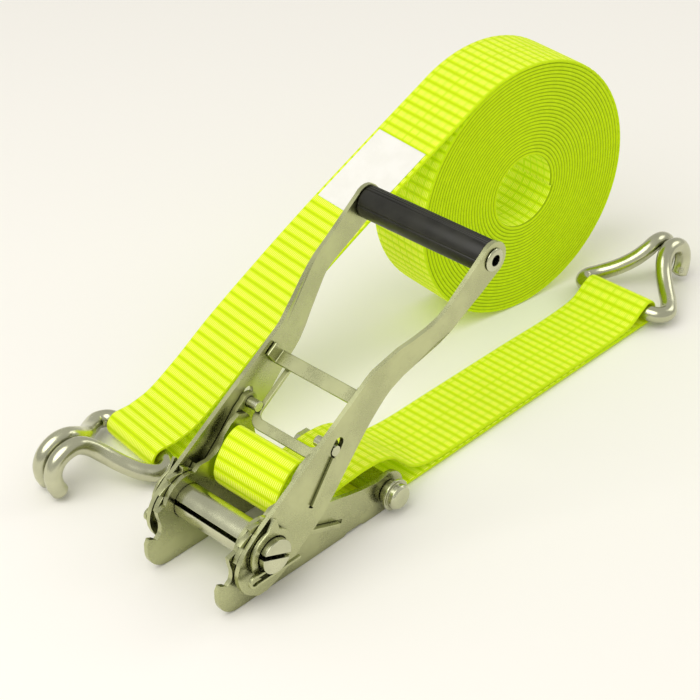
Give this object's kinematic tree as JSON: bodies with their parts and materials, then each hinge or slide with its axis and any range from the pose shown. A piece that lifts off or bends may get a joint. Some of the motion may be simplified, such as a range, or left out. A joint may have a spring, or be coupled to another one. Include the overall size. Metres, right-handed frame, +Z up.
{
  "type": "ratchet tie down strap",
  "caption": "Ratchet tie down: lever ratchet buckle on a short webbing strap with a double-J wire hook, and a long rolled webbing strap with a matching hook and a sewn blank label.",
  "frame": {"origin": "bottom centre of the whole object's box, on the ground", "axes": "X runs from the mandrel to the anchor bolt and the short hook, Y across to the side of the rolled strap, Z up"},
  "size_m": [0.47, 0.2062, 0.178],
  "materials": {
    "zinc_plate": "zinc-plated stamped sheet, satin",
    "bright_pins": "zinc-plated turned and rolled pins, brighter than the sheet",
    "hook_wire": "zinc-plated bent wire, glossy",
    "webbing": "fluorescent yellow-green ribbed polyester webbing",
    "grip": "black ribbed moulded grip",
    "label": "blank white sewn label"
  },
  "bodies": {
    "frame": {"frame_plate_left": "zinc_plate", "frame_plate_right": "zinc_plate", "anchor_bolt": "bright_pins", "anchor_nut": "bright_pins", "anchor_bush": "zinc_plate", "anchor_spacer_left": "zinc_plate", "anchor_spacer_right": "zinc_plate", "base_spring_seat": "zinc_plate", "base_spring_left": "bright_pins", "base_spring_right": "bright_pins", "short_strap": "webbing"},
    "base_pawl": {"base_pawl": "zinc_plate"},
    "mandrel": {"mandrel_half_upper": "bright_pins", "mandrel_half_lower": "bright_pins", "ratchet_wheel_left": "zinc_plate", "ratchet_wheel_right": "zinc_plate", "mandrel_washer_left": "zinc_plate", "mandrel_washer_right": "zinc_plate", "retaining_clip_left": "zinc_plate", "retaining_clip_right": "zinc_plate", "split_pin_left": "zinc_plate", "split_pin_right": "zinc_plate"},
    "handle": {"handle_arm_left": "zinc_plate", "handle_arm_right": "zinc_plate", "crossbar": "zinc_plate", "grip_sleeve": "grip", "grip_rod": "bright_pins", "pawl_spring": "bright_pins"},
    "handle_pawl": {"pawl_leg_left": "zinc_plate", "pawl_leg_right": "zinc_plate", "pawl_pin_left": "bright_pins", "pawl_pin_right": "bright_pins", "pull_loop": "zinc_plate"},
    "short_hook": {"short_hook": "hook_wire"},
    "long_strap": {"long_strap": "webbing", "webbing_roll": "webbing", "sewn_label": "label"},
    "long_hook": {"long_hook": "hook_wire"}
  },
  "joints": [
    {"name": "handle_swing", "type": "hinge", "parent": "frame", "child": "handle", "pos_m": [-0.2035, -0.05186, 0.0345], "axis": [0, -1, 0], "range_deg": [-26, 136]},
    {"name": "mandrel_turn", "type": "hinge", "parent": "frame", "child": "mandrel", "pos_m": [-0.2035, -0.05186, 0.0345], "axis": [0, 1, 0], "continuous": true},
    {"name": "handle_pawl_slide", "type": "slide", "parent": "handle", "child": "handle_pawl", "axis": [0.5736, 0, 0.8191], "range_m": [0, 0.004], "stiffness_N_per_m": 600, "springref_m": -0.002, "deforming": ["pawl_spring"]},
    {"name": "base_pawl_slide", "type": "slide", "parent": "frame", "child": "base_pawl", "axis": [0.9317, 0, -0.3633], "range_m": [0, 0.004], "stiffness_N_per_m": 600, "springref_m": -0.002, "deforming": ["base_spring_left", "base_spring_right"]},
    {"name": "short_hook_swing", "type": "hinge", "parent": "frame", "child": "short_hook", "pos_m": [0.1645, -0.05186, 0.0093], "axis": [0, -1, 0], "range_deg": [0, 110]},
    {"name": "long_strap_lift", "type": "slide", "parent": "frame", "child": "long_strap", "axis": [0, 0, 1], "range_m": [0, 0.15]},
    {"name": "long_hook_swing", "type": "hinge", "parent": "long_strap", "child": "long_hook", "pos_m": [-0.1635, 0.06314, 0.0093], "axis": [0.1253, 0.9921, 0], "range_deg": [0, 95]}
  ]
}
